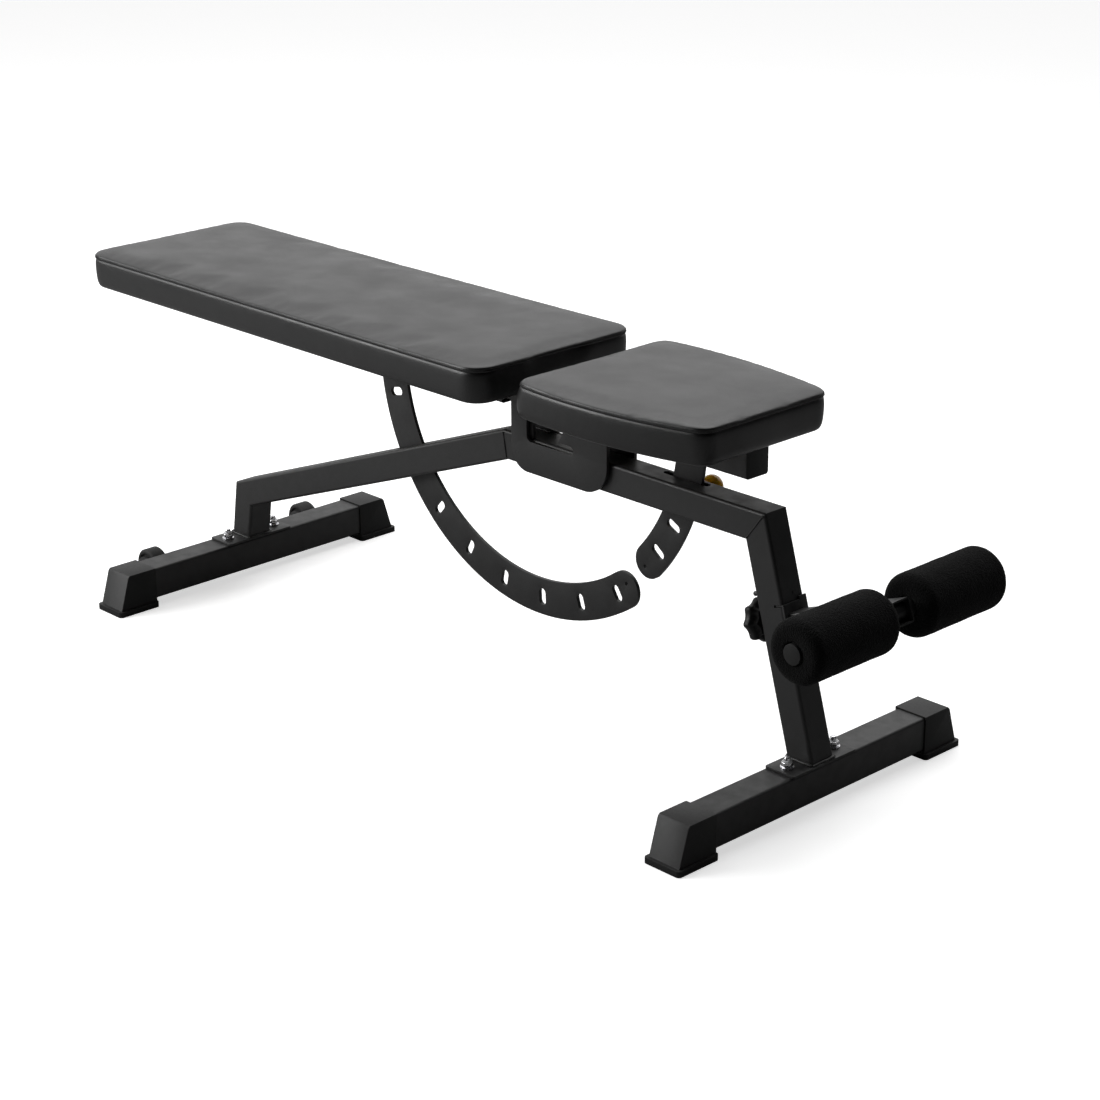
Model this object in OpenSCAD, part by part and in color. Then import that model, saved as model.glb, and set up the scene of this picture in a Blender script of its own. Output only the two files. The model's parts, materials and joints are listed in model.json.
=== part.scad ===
// Adjustable decline sit-up bench.
// X runs along the bench, +X towards the foam rollers; Y is its width; Z is up from the floor.
// The origin is on the floor, at the middle of the bench's length and width.
// Side-view points are [x, z] pairs measured from the foot of the front post.

/* [Overall] */
// Distance between the two floor feet
foot_spacing = 1100; // [1060:10:1140]
// Length of each foot over its end caps
foot_length = 516; // [480:4:560]
// Height of the horizontal front beam's top face
beam_height = 358; // [350:2:366]

/* [Frame tube] */
// Outside size of the square main tube
tube = 40; // [38:1:42]
// Outside size of the square foot tube
foot_tube = 45; // [44:1:48]
// Wall thickness of both tubes
wall = 2; // [1.5:0.5:3]
// Backward lean of the front post from vertical
front_lean = 16; // [14:1:18]
// Fall of the rear beam towards the rear foot
rear_slope = 20.3; // [19:0.1:21.5]
// Lean of the short rear post from vertical
rear_lean = 9; // [6:1:12]

/* [Back and seat hinge] */
// Distance of the shared hinge bolt behind the front post's foot
pivot_back = 477; // [475:1:479]
// Height of the shared hinge bolt
pivot_height = 415; // [413:1:417]
// Angle between neighbouring back rest settings
back_step = 15; // [15:1:15]
// Number of raised back rest settings
back_raised = 6; // [3:1:6]
// Angle by which the back rest drops below level
back_decline = 20; // [18:1:20]
// Angle between neighbouring seat settings
seat_step = 10.3; // [9.5:0.1:10.5]
// Thickness of the two slotted arc plates
arc_plate = 5; // [4:0.5:5]

/* [Pads] */
// Length of the back pad
back_length = 836; // [780:1:860]
// Width of the back pad
back_width = 279; // [250:1:300]
// Length of the seat pad
seat_length = 305; // [290:1:310]
// Widest part of the seat pad
seat_width = 272; // [250:1:290]
// Height of the back pad's cushion above its board
back_cushion_h = 37; // [34:1:37]
// Height of the seat pad's cushion above its board
seat_cushion_h = 35; // [32:1:35]

/* [Foam rollers] */
// Diameter of each foam roller
roller_d = 79; // [70:1:90]
// Length of each foam roller
roller_len = 145; // [130:1:150]
// Clear gap between the two foam rollers
roller_gap = 52; // [46:1:60]

/* [Adjusters] */
// Diameter of the two pop pins
pin_d = 10; // [8:1:10]
// Pull that frees a pop pin from its arc
pin_travel = 8; // [8:1:8]
// Diameter of the pop pins' knobs
pin_knob_d = 30; // [26:1:34]
// Diameter of the star knob that clamps the roller bracket
star_knob_d = 56; // [44:1:60]

/* [Hidden] */
$fn = 48;
eps = 0.01;
fit = 0.1;                       // diametral clearance of a running fit
steel = "#2b2c2e";
black = "#1c1c1d";
zinc = "#c9ccd0";
yellow = "#e0a010";
vinyl = "#3a3b3d";
foam = "#161616";
ply = "#b98f5c";

// Feet
sole = 11;                       // height of the foot tube's underside
foot_top = sole + foot_tube;
base_plate = 3;                  // thickness of the plates under the posts
base_z = foot_top + base_plate;  // top of those plates
foot_bolt_y = 42;                // half the distance between a post's two bolts
foot_bolt_d = 8;
foot_corner = 3.5;               // corner radius of the foot tube
cap_over = 2;                    // how far an end cap stands proud of the tube
cap_grip = 47.6;                 // length of a cap's pocket and its end wall
cap_slope_at = 19.5;             // where a cap's end face starts to slope, from its tip
cap_wall = 4.5;                  // end wall of a cap's pocket
flange_h = 8;
flange_len = 68.5;
flange_w = foot_tube + 12.6;

// Frame run, as [x, z] points on the tubes' centre lines
corner = 4;                      // corner radius of the square main tube
beam_z = beam_height - tube / 2;
rear_foot_x = -foot_spacing;
front_base = [0, base_z];
front_elbow = [-(beam_z - base_z) * tan(front_lean), beam_z];
mid_elbow = [-515, beam_z];
rear_base = [rear_foot_x + 2, base_z];
rear_elbow = crossing(mid_elbow, 180 + rear_slope, rear_base, 90 - rear_lean);

// Hinge shared by the back rest and the seat
pivot = [-pivot_back, pivot_height];
pivot_d = 12;
pivot_hex = 19;                  // size across the flats of the hinge bolt and its nut
upright_t = 5;                   // two uprights on the beam carry the hinge bolt
upright_out = tube / 2;          // outer face of each upright
head_r = 16;                     // round head of each plate at the hinge bolt
arm_t = 5;                       // the seat's two hinge plates stand outside the beam
arm_in = tube / 2 + 2;
arm_x = [-495, -321];
arm_z = [314, 428];
recess_x = -466;                 // the back pad's end swings through this recess
recess_z = 356;
recess_r = 84;
recess_slot = [-381, 11];        // front end and height of the slot that leads on from it
sleeve_half = 14.5;
bush_wall = 2;

// Pads
strap_t = 3;
rail = 38;                       // square tube under each pad
rail_top = 430;
rail_z = rail_top - rail / 2;
board_z = rail_top + strap_t;
board_t = 12;
edge_r = 15;                     // rounding of the cushions' top edges
back_front = -436;
seat_rear = -385;
back_rear = back_front - back_length;
seat_front = seat_rear + seat_length;
board_inset = 6;                 // the vinyl wraps round this much past the board
seat_bow = 0.00072;              // how fast the seat's sides curve in from its widest place
seat_widest = -280;
seat_corner = 22;
back_corner = 30;
notch = [26, 70];                // notch in the back board over the seat's hinge plates
back_rail = [back_rear + 92, pivot[0] - 44];
seat_rail = [-392, -97];
back_strap_x = [-1120, -580];
seat_strap_x = [-340, -170];
strap_half = [100, 80];          // half length of the back and seat straps
strap_w = 36;
screw_d = 6;
screw_edge = 14;                 // a screw's distance from the end of its strap
screw_head = 5.6;                // hex head and flange

// Slotted arcs, radii from the hinge
back_arc_y = 0;
back_slot_r = 280;
back_arc_r = [255, 305];
back_pin_a = 212.5;              // direction of the back pin from the hinge
back_arc_a = [182, 305.5];
seat_arc_y = 8;
seat_slot_r = 270;
seat_arc_r = [246, 292];
seat_pin_a = -17;
seat_arc_a = [-42.5, -2];
slot_w = 12;
slot_len = 23;
pin_back = pivot + back_slot_r * [cos(back_pin_a), sin(back_pin_a)];
pin_seat = pivot + seat_slot_r * [cos(seat_pin_a), sin(seat_pin_a)];

// Pop pins: they point along Y, with the knob on the +Y side; the model holds them pulled out
barrel_d = 19;
barrel_y = [12, 34];
cavity_d = 15;
cavity_y = [14, 31];
pin_gap = 0.7;                   // space between an arc and the nose of its pulled pin
collar_t = 1.5;
spring_wire = 1.3;
spring_turns = 4;

// Roller bracket: s runs up the front post from its foot, d out from the post's front face
roller_axis = [114.5, 278.4];
stub_s = 173.5;
stub = 30;
hook_s = 197;
hook_t = 3;
clamp_s = stub_s + 3.5;
clamp_d = 8;
stud_reach = 15;                 // how far the clamp's stud stands past the post's front face
stud_in_knob = 14;
locator_d = 6;
locator_s = 209.5;
locator_d_range = [-62, -0.5];
ear_y = [9, tube / 2 + 1];       // small ear on the bracket's top edge
ear_h = 7;
roller_tube_d = 25;
roller_edge = 11;                // rounding of a foam roller's ends
post_front = [tube / 2 / cos(front_lean), base_z];
star_lobes = 8;
lobe_r = 7;

// Transport wheels
wheel_d = 48;
wheel_w = 24;
wheel_x = rear_foot_x - 53;
wheel_z = 31;
wheel_y = 141;
wheel_bolt_d = 8;

// The model is moved so that the origin is at the middle of its length
front_end = roller_axis[0] + roller_d / 2;
shift = -(front_end + back_rear) / 2;

// ---- helpers ----

function crossing(p, a, q, b) =
    let (k = ((q[0] - p[0]) * sin(b) - (q[1] - p[1]) * cos(b)) / sin(b - a))
    p + k * [cos(a), sin(a)];
function heading(a, b) = atan2(b[1] - a[1], b[0] - a[0]);
function on_post(s, d) =
    post_front + s * [-sin(front_lean), cos(front_lean)] + d * [cos(front_lean), sin(front_lean)];

module placed() translate([shift, 0, 0]) children();

module both_sides() for (s = [-1, 1]) scale_y(s) children();
module scale_y(s) mirror([0, s < 0 ? 1 : 0, 0]) children();

// A side-view outline in [x, z], given a thickness t centred on y
module side(y, t) translate([0, y, 0]) rotate([90, 0, 0]) linear_extrude(t, center = true) children();

// A square with round corners, made of true arcs
module rounded(w, h, r) {
    square([w - 2 * r, h], center = true);
    square([w, h - 2 * r], center = true);
    for (x = [-1, 1], y = [-1, 1]) translate([x * (w / 2 - r), y * (h / 2 - r)]) circle(r);
}

// The waste outside a round corner at the origin, for cutting corners off
module corner_waste(r) difference() {
    translate([-1, -1]) square(r + 1);
    translate([r, r]) circle(r);
}

module slot(len, w) {
    square([len - w, w], center = true);
    for (x = [-1, 1]) translate([x * (len - w) / 2, 0]) circle(d = w);
}

module tube_section(size, r) difference() {
    rounded(size, size, r);
    rounded(size - 2 * wall, size - 2 * wall, r - wall);
}

// A square tube along X from 0 to len
module tube_x(len, size, r) rotate([90, 0, 90]) linear_extrude(len) tube_section(size, r);

// A length of main tube from a to b, each end cut at its own tilt from square
module run(a, b, tilt_a, tilt_b) {
    len = norm(b - a);
    translate([a[0], 0, a[1]]) rotate([0, -heading(a, b), 0]) difference() {
        translate([-tube, 0, 0]) tube_x(len + 2 * tube, tube, corner);
        rotate([0, -tilt_a, 0]) translate([-4 * tube, -tube, -3 * tube]) cube(tube * [4, 2, 6]);
        translate([len, 0, 0]) rotate([0, -tilt_b, 0]) translate([0, -tube, -3 * tube])
            cube(tube * [4, 2, 6]);
    }
}

// A rod along Y between two y values
module rod(p, d, y0, y1) translate([p[0], y1, p[1]]) rotate([90, 0, 0]) cylinder(d = d, h = y1 - y0);

// Things standing on the front post's slanted frame, with +X out of its front face
module at_post(s, d = 0) translate([on_post(s, d)[0], 0, on_post(s, d)[1]])
    rotate([0, -front_lean, 0]) children();

module hex_nut(d, across, h) difference() {
    cylinder(d = across / cos(30), h = h, $fn = 6);
    translate([0, 0, -1]) cylinder(d = d + fit, h = h + 2);
}

module ring(d_out, d_in, h) difference() {
    cylinder(d = d_out, h = h);
    translate([0, 0, -1]) cylinder(d = d_in, h = h + 2);
}

// ---- feet ----

module foot_bolt_places(x) for (y = [-1, 1] * foot_bolt_y) translate([x, y, 0]) children();

module foot(x) {
    inner = foot_length - 2 * (cap_slope_at + cap_wall + fit);
    difference() {
        translate([x, -inner / 2, sole + foot_tube / 2]) rotate([0, 0, 90])
            tube_x(inner, foot_tube, foot_corner);
        foot_bolt_places(x) translate([0, 0, sole - 1]) cylinder(d = foot_bolt_d + 0.5, h = foot_tube + 2);
    }
}
module front_foot_tube() color(steel) placed() foot(0);
module rear_foot_tube() color(steel) placed() foot(rear_foot_x);

// A rubber shoe over one end of a foot; the shoe's end slopes out to its wide sole
module cap(x, s) {
    half = foot_length / 2;
    tip = half - cap_slope_at;
    top = foot_top + cap_over;
    grip_from = tip - cap_grip;
    pocket = foot_tube + 0.3;
    color(black) placed() translate([x, 0, 0]) scale_y(s) difference() {
        union() {
            rotate([90, 0, 90]) linear_extrude(foot_tube + 2 * cap_over, center = true)
                polygon([[grip_from, flange_h - 1], [grip_from, top], [tip - 3, top], [tip, top - 3],
                    [half - 5, flange_h - 1]]);
            translate([0, half - flange_len / 2, 0]) linear_extrude(flange_h)
                rounded(flange_w, flange_len, 5);
        }
        translate([-pocket / 2, grip_from - 60, sole - 0.1]) cube([pocket, 60 + cap_grip - cap_wall, pocket]);
        for (k = [0:5]) translate([0, half - 10 - 10 * k, -1]) linear_extrude(2.2)
            square([flange_w - 14, 3], center = true);
    }
}
module front_cap_left() cap(0, 1);
module front_cap_right() cap(0, -1);
module rear_cap_left() cap(rear_foot_x, 1);
module rear_cap_right() cap(rear_foot_x, -1);

module base_plates() color(steel) placed() for (x = [0, rear_foot_x]) difference() {
    translate([x + 1, 0, foot_top]) linear_extrude(base_plate) rounded(46, 115, 3);
    foot_bolt_places(x) translate([0, 0, foot_top - 1]) cylinder(d = foot_bolt_d + 0.6, h = base_plate + 2);
}

module foot_fastener_places() placed() for (x = [0, rear_foot_x]) foot_bolt_places(x) children();
module foot_bolts() color(zinc) foot_fastener_places() {
    translate([0, 0, sole - 4.5]) rotate_extrude()
        polygon([[0, 0], [5, 0], [7.4, 1.4], [8.5, 4.5], [foot_bolt_d / 2, 4.5], [foot_bolt_d / 2, 65],
            [foot_bolt_d / 2 - 1, 66], [0, 66]]);
}
module foot_washers() color(zinc) foot_fastener_places()
    translate([0, 0, base_z]) ring(17, foot_bolt_d + 0.4, 1.6);
module foot_nuts() color(zinc) foot_fastener_places()
    translate([0, 0, base_z + 1.6]) hex_nut(foot_bolt_d, 13, 6.5);

// ---- main frame ----

module front_post() color(steel) placed() difference() {
    run(front_base, front_elbow, -front_lean, (90 - front_lean) / 2);
    at_post(clamp_s) rotate([0, -90, 0]) translate([0, 0, -5]) cylinder(d = clamp_d + 1, h = tube + 10);
    at_post(hook_s) translate([-13, -tube, 0]) cube([14, 2 * tube, hook_t]);
    at_post(locator_s) rotate([0, -90, 0]) translate([0, 0, -5]) cylinder(d = locator_d, h = tube + 10);
}

module front_beam() color(steel) placed() difference() {
    run(front_elbow, mid_elbow, (front_lean - 90) / 2, rear_slope / 2);
    translate([-217, seat_arc_y, beam_z - tube]) linear_extrude(2 * tube) slot(76, 10);
    rod(pin_seat, barrel_d, 0, tube);
}

module rear_beam() color(steel) placed() difference() {
    run(mid_elbow, rear_elbow, -rear_slope / 2, (90 - rear_lean - rear_slope) / 2);
    translate([pin_back[0], 0, pin_back[1]]) rotate([0, -rear_slope, 0])
        translate([1.5, back_arc_y, -tube]) linear_extrude(2 * tube) slot(72, 10);
    rod(pin_back, barrel_d, 0, tube);
}

module rear_post() color(steel) placed()
    run(rear_elbow, rear_base, (rear_lean + rear_slope - 90) / 2, rear_lean);

// Two uprights on the beam that carry the hinge bolt
module upright_outline() difference() {
    union() {
        polygon([[pivot[0] - 26, beam_height], [pivot[0] + head_r, beam_height],
            [pivot[0] + head_r, pivot[1]], [pivot[0] - head_r, pivot[1]]]);
        translate(pivot) circle(head_r);
    }
    translate(pivot) circle(d = pivot_d + fit);
}
module pivot_uprights() color(steel) placed() both_sides()
    side(upright_out - upright_t / 2, upright_t) upright_outline();

// The bolt passes through the seat's plates, the uprights and the back rest's sleeve
bolt_grip = arm_in + arm_t + 1.6;
module pivot_bolt() color(steel) placed() {
    rod(pivot, pivot_d, -bolt_grip, bolt_grip + 12);
    translate([pivot[0], -bolt_grip, pivot[1]]) rotate([90, 0, 0])
        cylinder(d = pivot_hex / cos(30), h = 7.5, $fn = 6);
}
module pivot_nut() color(steel) placed() translate([pivot[0], bolt_grip, pivot[1]])
    rotate([-90, 0, 0]) hex_nut(pivot_d, pivot_hex, 10);
module pivot_washers() color(steel) placed() both_sides()
    translate([pivot[0], 0, pivot[1]]) rotate([-90, 0, 0]) {
        translate([0, 0, upright_out]) ring(24, pivot_d + fit, arm_in - upright_out - 0.1);
        translate([0, 0, arm_in + arm_t + 0.1]) ring(24, pivot_d + fit, 1.5);
    }

// ---- transport wheels ----

module at_wheel(s) placed() translate([wheel_x, s * wheel_y, wheel_z]) children();
module wheel_forks() color(steel) {
    gap = wheel_w / 2 + 1;
    reach = rear_foot_x - foot_tube / 2 - wheel_x;
    for (s = [-1, 1]) at_wheel(s) for (y = [-gap - 3, gap]) translate([0, y + 3, 0]) rotate([90, 0, 0])
        linear_extrude(3) difference() {
            union() {
                circle(14);
                translate([0, -14]) square([reach, 28]);
            }
            circle(d = wheel_bolt_d + fit);
        }
}
module wheel_bolts() color(zinc) for (s = [-1, 1]) at_wheel(s) scale_y(s) {
    out = wheel_w / 2 + 4;
    rod([0, 0], wheel_bolt_d, -out, out + 8);
    translate([0, -out, 0]) rotate([90, 0, 0]) cylinder(d = 13 / cos(30), h = 5.3, $fn = 6);
}
module wheel_nuts() color(zinc) for (s = [-1, 1]) at_wheel(s) scale_y(s)
    translate([0, wheel_w / 2 + 4, 0]) rotate([-90, 0, 0]) hex_nut(wheel_bolt_d, 13, 6.5);
module wheel(s) color(black) at_wheel(s) rotate([90, 0, 0]) rotate_extrude($fn = 72) {
    w = wheel_w / 2;
    r = wheel_d / 2;
    polygon([[wheel_bolt_d / 2 + fit / 2, -w], [9, -w], [9, -w + 3], [r - 6, -w + 3], [r - 6, -w],
        [r - 2.5, -w], [r, -w + 2.5], [r, w - 2.5], [r - 2.5, w], [r - 6, w], [r - 6, w - 3],
        [9, w - 3], [9, w], [wheel_bolt_d / 2 + fit / 2, w]]);
}
module wheel_left() wheel(1);
module wheel_right() wheel(-1);

// ---- pop pins ----

// Both pins lie along Y: the profile's own axis is turned from Z to +Y
module at_pin(p) placed() translate([p[0], 0, p[1]]) rotate([-90, 0, 0]) children();

module barrel(p) color(steel) at_pin(p) rotate_extrude() {
    r = barrel_d / 2;
    bore = (pin_d + fit) / 2;
    y0 = barrel_y[0];
    y1 = barrel_y[1];
    polygon([[bore, y0], [r, y0], [r, y1 - 1], [r - 1, y1], [bore, y1], [bore, cavity_y[1]],
        [cavity_d / 2, cavity_y[1]], [cavity_d / 2, cavity_y[0]], [bore, cavity_y[0]]]);
}
module back_pin_barrel() barrel(pin_back);
module seat_pin_barrel() barrel(pin_seat);

// The pin has a tapered nose, a collar that the spring pushes on, and a shank that fills its knob
collar_y = cavity_y[0] + 0.1 + pin_travel;
knob_y = barrel_y[1] + 0.5 + pin_travel;
module pop_pin(p, nose) color(zinc) at_pin(p) rotate_extrude() {
    r = pin_d / 2;
    collar = cavity_d / 2 - 0.4;
    polygon([[0, nose], [r - 2, nose], [r, nose + 3], [r, collar_y], [collar, collar_y],
        [collar, collar_y + collar_t], [r, collar_y + collar_t], [r, knob_y + 13.5], [0, knob_y + 13.5]]);
}
module back_pin() pop_pin(pin_back, back_arc_y + arc_plate / 2 + pin_gap);
module seat_pin() pop_pin(pin_seat, seat_arc_y + arc_plate / 2 + pin_gap);

// A ball-ended knob on a short neck
module pin_knob(p) color(yellow) at_pin(p) rotate_extrude() difference() {
    r = pin_knob_d / 2;
    dome = 1.45 * r;
    union() {
        translate([0, knob_y]) square([r * 0.62, 6]);
        translate([0, knob_y + 2.5]) square([r - 3, 13.5]);
        translate([0, knob_y + 5.5]) square([r, 7]);
        translate([r - 3, knob_y + 5.5]) circle(3, $fn = 32);
        intersection() {
            translate([0, knob_y + 25.5 - dome]) circle(dome, $fn = 96);
            translate([0, knob_y + 12.5]) square([r, 20]);
        }
    }
    translate([-1, knob_y - 1]) square([pin_d / 2 + 1, 14.5]);
    translate([-50, knob_y - 20]) square([50, 60]);
}
module back_pin_knob() pin_knob(pin_back);
module seat_pin_knob() pin_knob(pin_seat);

// One open coil spring, swept around the pin between its collar and the barrel's end wall
module coil(p) {
    turns = spring_turns;
    steps = 14;
    sides = 6;
    r = pin_d / 2 + 0.3 + spring_wire / 2;
    y0 = collar_y + collar_t + 0.1 + spring_wire / 2;
    pitch = (cavity_y[1] - 0.1 - spring_wire / 2 - y0) / turns;
    count = turns * steps;
    points = [for (i = [0:count], j = [0:sides - 1])
        let (a = 360 * i / steps, b = 360 * j / sides, q = r + spring_wire / 2 * cos(b))
        [q * cos(a), q * sin(a), y0 + pitch * i / steps + spring_wire / 2 * sin(b)]];
    skin = [for (i = [0:count - 1], j = [0:sides - 1])
        let (k = (j + 1) % sides)
        [i * sides + j, (i + 1) * sides + j, (i + 1) * sides + k, i * sides + k]];
    ends = [[for (j = [0:sides - 1]) j], [for (j = [sides - 1:-1:0]) count * sides + j]];
    color(zinc) at_pin(p) polyhedron(points, concat(skin, ends));
}
module back_pin_spring() coil(pin_back);
module seat_pin_spring() coil(pin_seat);

// ---- slotted arcs ----

// A band of plate between two radii and two angles, with a round lower end
module band(r, a, end_a) {
    mid = (r[0] + r[1]) / 2;
    intersection() {
        difference() {
            circle(r[1], $fn = 180);
            circle(r[0], $fn = 180);
        }
        polygon([[0, 0], for (k = [0:6]) let (b = a[0] + (a[1] - a[0]) * k / 6)
            2 * r[1] * [cos(b), sin(b)]]);
    }
    rotate(end_a) translate([mid, 0]) circle((r[1] - r[0]) / 2 - 0.05);
}
module arc_slot(r, a) rotate(a) translate([r, 0]) slot(slot_len, slot_w);

module back_arc() color(steel) placed() side(back_arc_y, arc_plate) difference() {
    translate(pivot) difference() {
        band(back_arc_r, back_arc_a, back_arc_a[1]);
        for (k = [0:back_raised]) arc_slot(back_slot_r, back_pin_a + back_step * k);
        arc_slot(back_slot_r, back_pin_a - back_decline);
        rotate(back_arc_a[1] + 2) translate([back_slot_r - 5, 0]) circle(2.5);
    }
    translate([pivot[0] - 400, rail_z - rail / 2]) square([800, 60]);
}
module seat_arc() color(steel) placed() side(seat_arc_y, arc_plate) difference() {
    translate(pivot) difference() {
        band(seat_arc_r, seat_arc_a, seat_arc_a[0]);
        for (k = [0:2]) arc_slot(seat_slot_r, seat_pin_a - seat_step * k);
        rotate(seat_arc_a[0] - 2.2) translate([seat_slot_r, 0]) circle(2.5);
    }
    translate([pivot[0], rail_z - rail / 2]) square([800, 60]);
}

// ---- pads ----

module rail_tube(x) color(steel) placed()
    translate([x[0], 0, rail_z]) tube_x(x[1] - x[0], rail, corner);
module back_tube() rail_tube(back_rail);
module seat_tube() rail_tube(seat_rail);

// A plastic plug: a plate over the tube's end and a body inside it
module plug(x, out) color(black) placed() translate([x, 0, rail_z]) rotate([0, out > 0 ? 0 : 180, 0]) {
    rotate([90, 0, 90]) linear_extrude(2) rounded(rail, rail, corner);
    translate([-14, 0, 0]) rotate([90, 0, 90]) linear_extrude(14)
        rounded(rail - 2 * wall - 0.2, rail - 2 * wall - 0.2, corner - wall);
}
module back_tube_plug() plug(back_rail[0], -1);
module seat_tube_plug() plug(seat_rail[1], 1);

// The back rest's hinge: a sleeve on a neck that is welded inside the back tube
module back_hinge_sleeve() color(steel) placed() side(0, 2 * sleeve_half) difference() {
    union() {
        translate(pivot) circle(13);
        translate([back_rail[1] - 16, rail_z - 12]) square([pivot[0] - back_rail[1] + 16, 24]);
    }
    translate(pivot) circle(d = pivot_d + fit + 2 * bush_wall);
}
// Two plain bushes pressed into the sleeve's ends
module back_hinge_bushes() color(black) placed() both_sides() translate([pivot[0], 0, pivot[1]])
    rotate([-90, 0, 0]) translate([0, 0, 2])
        ring(pivot_d + fit + 2 * bush_wall, pivot_d + fit, sleeve_half - 2);

// The seat's two hinge plates straddle the beam and pass under the end of the upright back pad
module arm_outline() {
    w = arm_x[1] - arm_x[0];
    slot_h = recess_slot[1];
    difference() {
        union() {
            translate([arm_x[0], arm_z[0]]) square([w, pivot[1] - arm_z[0]]);
            translate([recess_x + 20, arm_z[0]]) square([arm_x[1] - recess_x - 20, arm_z[1] - arm_z[0]]);
            translate(pivot) circle(head_r + 2);
        }
        difference() {
            intersection() {
                translate(pivot) circle(recess_r);
                translate([recess_x, recess_z]) square(120);
            }
            translate([recess_x, recess_z]) corner_waste(8);
            translate(pivot) circle(head_r + 2);
        }
        translate([recess_x + 20, recess_z]) square([recess_slot[0] - slot_h / 2 - recess_x - 20, slot_h]);
        translate([recess_slot[0] - slot_h / 2, recess_z + slot_h / 2]) circle(slot_h / 2);
        translate([arm_x[0], arm_z[0]]) corner_waste(30);
        translate([arm_x[1], arm_z[0]]) mirror([1, 0]) corner_waste(40);
        translate([arm_x[1], arm_z[1]]) rotate(180) corner_waste(10);
        translate(pivot) circle(d = pivot_d + fit);
    }
}
module seat_hinge(s) color(steel) placed() side(s * (arm_in + arm_t / 2), arm_t) arm_outline();
module seat_hinge_left() seat_hinge(1);
module seat_hinge_right() seat_hinge(-1);
module seat_hinge_spacers() color(steel) placed() both_sides()
    translate([seat_rail[0] + 3, rail / 2, rail_z - 15]) cube([64, arm_in - rail / 2, 30]);

module straps(xs, half) color(steel) placed() for (x = xs) difference() {
    translate([x, 0, rail_top]) linear_extrude(strap_t) rounded(strap_w, 2 * half, 4);
    for (y = [-1, 1]) translate([x, y * (half - screw_edge), rail_top - 1])
        cylinder(d = screw_d + 1, h = strap_t + 2);
}
module back_straps() straps(back_strap_x, strap_half[0]);
module seat_straps() straps(seat_strap_x, strap_half[1]);

module screws(xs, half) color(zinc) placed() for (x = xs, y = [-1, 1])
    translate([x, y * (half - screw_edge), rail_top - screw_head]) {
        cylinder(d = 10 / cos(30), h = 4, $fn = 6);
        translate([0, 0, 4]) cylinder(d = 12, h = screw_head - 4);
        translate([0, 0, screw_head]) cylinder(d = screw_d, h = strap_t + board_t - 1);
    }
module back_screws() screws(back_strap_x, strap_half[0]);
module seat_screws() screws(seat_strap_x, strap_half[1]);

module screw_holes(xs, half) for (x = xs, y = [-1, 1])
    translate([x, y * (half - screw_edge), board_z - 1]) cylinder(d = screw_d + 0.3, h = board_t);

// Plan of the back pad, drawn in by inset all round
module back_plan(inset) translate([(back_front + back_rear) / 2, 0])
    rounded(back_length - 2 * inset, back_width - 2 * inset, back_corner - inset);

// Plan of the seat pad: its sides curve in towards both ends, and its corners are round
function seat_half(x) = seat_width / 2 - seat_bow * pow(x - seat_widest, 2);
function seat_turn(x) = atan(2 * seat_bow * (x - seat_widest));
function seat_side(inset) = let (
    r = seat_corner - inset / 2,
    xf = seat_front - inset - r,
    xr = seat_rear + inset + r,
    tf = seat_turn(xf),
    tr = seat_turn(xr),
    x1 = xf + r * sin(tf),
    x0 = xr + r * sin(tr),
    yf = seat_half(x1) - inset - r * cos(tf),
    yr = seat_half(x0) - inset - r * cos(tr))
    concat([for (k = [0:6]) let (a = (90 - tf) * k / 6) [xf + r * cos(a), yf + r * sin(a)]],
        [for (k = [1:11]) let (x = x1 + (x0 - x1) * k / 12) [x, seat_half(x) - inset]],
        [for (k = [0:6]) let (a = 90 - tr + (90 + tr) * k / 6) [xr + r * cos(a), yr + r * sin(a)]]);
module seat_plan(inset) {
    side = seat_side(inset);
    count = len(side);
    polygon(concat(side, [for (k = [count - 1:-1:0]) [side[k][0], -side[k][1]]]));
}

module board(xs, half) color(ply) placed() difference() {
    translate([0, 0, board_z]) linear_extrude(board_t) children();
    screw_holes(xs, half);
}
module back_board() board(back_strap_x, strap_half[0]) difference() {
    back_plan(board_inset);
    translate([back_front - notch[0], -notch[1] / 2]) square([notch[0] + 1, notch[1]]);
}
module seat_board() board(seat_strap_x, strap_half[1]) seat_plan(board_inset);

// A cushion: upright sides, and a top edge rounded by a quarter circle
module cushion_solid(height) color(vinyl) placed() {
    r = edge_r;
    hull() {
        translate([0, 0, board_z + board_t]) linear_extrude(height - r) children(0);
        translate([0, 0, board_z + board_t + height - r * (1 - sin(30))]) linear_extrude(eps) children(1);
        translate([0, 0, board_z + board_t + height - r * (1 - sin(60))]) linear_extrude(eps) children(2);
        translate([0, 0, board_z + board_t + height - eps]) linear_extrude(eps) children(3);
    }
}
function edge_inset(k) = edge_r * (1 - cos(30 * k));
module back_cushion() cushion_solid(back_cushion_h) {
    back_plan(0);
    back_plan(edge_inset(1));
    back_plan(edge_inset(2));
    back_plan(edge_inset(3));
}
module seat_cushion() cushion_solid(seat_cushion_h) {
    seat_plan(0);
    seat_plan(edge_inset(1));
    seat_plan(edge_inset(2));
    seat_plan(edge_inset(3));
}

// ---- leg rollers ----

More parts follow.
